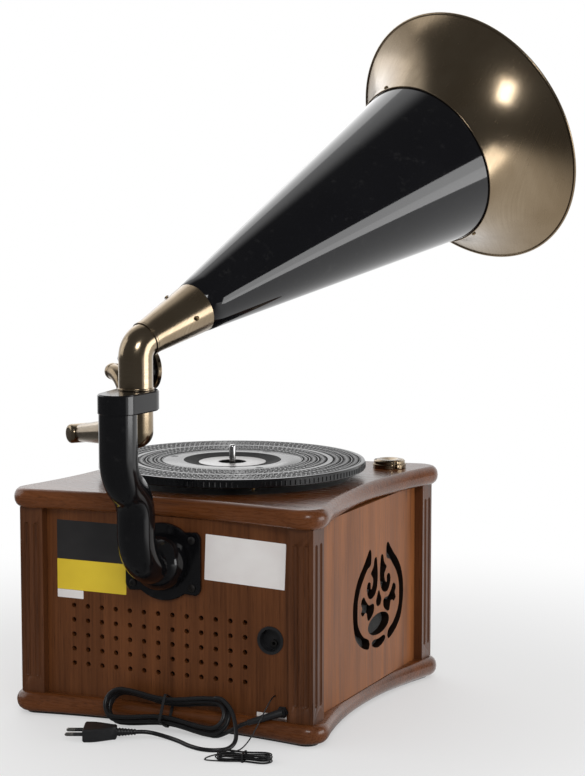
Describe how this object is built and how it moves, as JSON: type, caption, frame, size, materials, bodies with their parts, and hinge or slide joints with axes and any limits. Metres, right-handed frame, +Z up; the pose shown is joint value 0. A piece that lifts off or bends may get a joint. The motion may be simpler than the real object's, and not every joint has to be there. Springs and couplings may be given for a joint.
{
  "type": "horn gramophone",
  "caption": "Wooden cabinet gramophone with a swivelling brass and black horn on a curved bracket, tonearm, turntable, radio dial, disc drawer and side grilles.",
  "frame": {"origin": "on the floor under the record spindle, at the middle of the cabinet", "axes": "+Z up along the spindle, front of the cabinet to -Y, horn bracket at +Y"},
  "size_m": [0.5121, 0.6267, 0.7721],
  "materials": {
    "walnut_back": "satin lacquer",
    "walnut_side": "satin lacquer",
    "walnut_trim": "gloss lacquer",
    "plain_board": "bare",
    "felt": "felt",
    "cloth": "woven",
    "black_plastic": "satin",
    "black_gloss": "gloss",
    "black_enamel": "gloss enamel",
    "antique_brass": "brushed, aged",
    "bright_steel": "polished",
    "grey_steel": "matt",
    "plate_metal": "brushed",
    "rubber_black": "matt",
    "bush_bronze": "plain",
    "board_green": "matt",
    "dial_cream": "satin",
    "clear": "clear",
    "signal_red": "satin",
    "cord_black": "satin"
  },
  "bodies": {
    "cabinet": {"felt_strip": "felt", "plinth": "walnut_trim", "bottom_board": "plain_board", "corner_posts": "walnut_side", "back_panel": "walnut_back", "front_panel": "walnut_side", "left_panel": "walnut_side", "right_panel": "walnut_side", "speaker_cloths": "cloth", "loudspeakers": "grey_steel", "top_board": "walnut_trim", "motor_plate": "grey_steel", "platter_bearing": "bush_bronze", "drive_motor": "plate_metal", "drive_belt": "rubber_black", "transformer": "grey_steel", "main_board": "board_green", "cd_mechanism": "plate_metal", "dial_plate": "dial_cream", "dial_window": "clear", "dial_rail": "bright_steel", "knob_controls": "grey_steel", "line_socket": "black_plastic", "socket_jack": "bright_steel", "horn_bracket": "black_gloss", "bracket_screws": "grey_steel", "cord_gland": "black_plastic", "mains_cord": "cord_black", "mains_hank": "cord_black", "mains_plug": "black_plastic", "antenna_wire": "cord_black", "antenna_hank": "cord_black", "cord_ties": "black_plastic"},
    "turntable": {"platter": "black_plastic", "platter_mat": "rubber_black", "hub_disc": "plate_metal", "spindle": "bright_steel"},
    "pulley": {"motor_pulley": "bush_bronze"},
    "adapter": {"adapter_45": "antique_brass"},
    "drawer": {"cd_drawer": "black_plastic"},
    "pointer": {"dial_pointer": "signal_red"},
    "tuning": {"tuning_knob": "antique_brass"},
    "volume": {"volume_knob": "antique_brass"},
    "power_key": {"power_button": "antique_brass"},
    "play_key": {"play_button": "antique_brass"},
    "stop_key": {"stop_button": "antique_brass"},
    "skip_key": {"skip_button": "antique_brass"},
    "horn": {"horn_elbow": "antique_brass", "horn_throat": "antique_brass", "horn_cone": "black_enamel", "horn_bell": "antique_brass", "horn_screws": "antique_brass"},
    "arm": {"tonearm": "antique_brass", "tonearm_stud": "bright_steel"},
    "head": {"gooseneck": "antique_brass", "sound_box": "black_plastic", "box_rim": "antique_brass", "cartridge": "black_plastic", "stylus": "signal_red"}
  },
  "joints": [
    {"name": "platter_spin", "type": "hinge", "parent": "cabinet", "child": "turntable", "pos_m": [0, 0, 0.26], "axis": [0, 0, 1], "continuous": true},
    {"name": "pulley_spin", "type": "hinge", "parent": "cabinet", "child": "pulley", "pos_m": [-0.06464, 0.08274, 0.255], "axis": [0, 0, 1], "continuous": true},
    {"name": "adapter_lift", "type": "slide", "parent": "cabinet", "child": "adapter", "axis": [0, 0, 1], "range_m": [0, 0.025]},
    {"name": "drawer_slide", "type": "slide", "parent": "cabinet", "child": "drawer", "axis": [0, -1, 0], "range_m": [0, 0.138]},
    {"name": "tuning_turn", "type": "hinge", "parent": "cabinet", "child": "tuning", "pos_m": [0.112, -0.165, 0.188], "axis": [0, 1, 0], "range_deg": [-150, 150]},
    {"name": "pointer_slide", "type": "slide", "parent": "cabinet", "child": "pointer", "axis": [1, 0, 0], "range_m": [-0.058, 0.058]},
    {"name": "volume_turn", "type": "hinge", "parent": "cabinet", "child": "volume", "pos_m": [-0.112, -0.165, 0.188], "axis": [0, 1, 0], "range_deg": [-150, 150]},
    {"name": "power_press", "type": "slide", "parent": "cabinet", "child": "power_key", "axis": [0, 1, 0], "range_m": [0, 0.0025], "stiffness_N_per_m": 400, "springref_m": -0.001},
    {"name": "play_press", "type": "slide", "parent": "cabinet", "child": "play_key", "axis": [0, 1, 0], "range_m": [0, 0.0025], "stiffness_N_per_m": 400, "springref_m": -0.001},
    {"name": "stop_press", "type": "slide", "parent": "cabinet", "child": "stop_key", "axis": [0, 1, 0], "range_m": [0, 0.0025], "stiffness_N_per_m": 400, "springref_m": -0.001},
    {"name": "skip_press", "type": "slide", "parent": "cabinet", "child": "skip_key", "axis": [0, 1, 0], "range_m": [0, 0.0025], "stiffness_N_per_m": 400, "springref_m": -0.001},
    {"name": "horn_swivel", "type": "hinge", "parent": "cabinet", "child": "horn", "pos_m": [0.003, 0.22, 0.366], "axis": [0, 0, 1], "range_deg": [-40, 40]},
    {"name": "tonearm_swing", "type": "hinge", "parent": "cabinet", "child": "arm", "pos_m": [0.003, 0.22, 0.354], "axis": [0, 0, 1], "range_deg": [-29, 6]},
    {"name": "head_flip", "type": "hinge", "parent": "arm", "child": "head", "pos_m": [0.1186, 0.13754, 0.309], "axis": [0.5807, 0.8141, 0], "range_deg": [0, 118]}
  ],
  "couplings": [
    {"joint": "pulley_spin", "follows": "platter_spin", "ratio": 15.741},
    {"joint": "pointer_slide", "follows": "tuning_turn", "m_per_rad": 0.022}
  ]
}
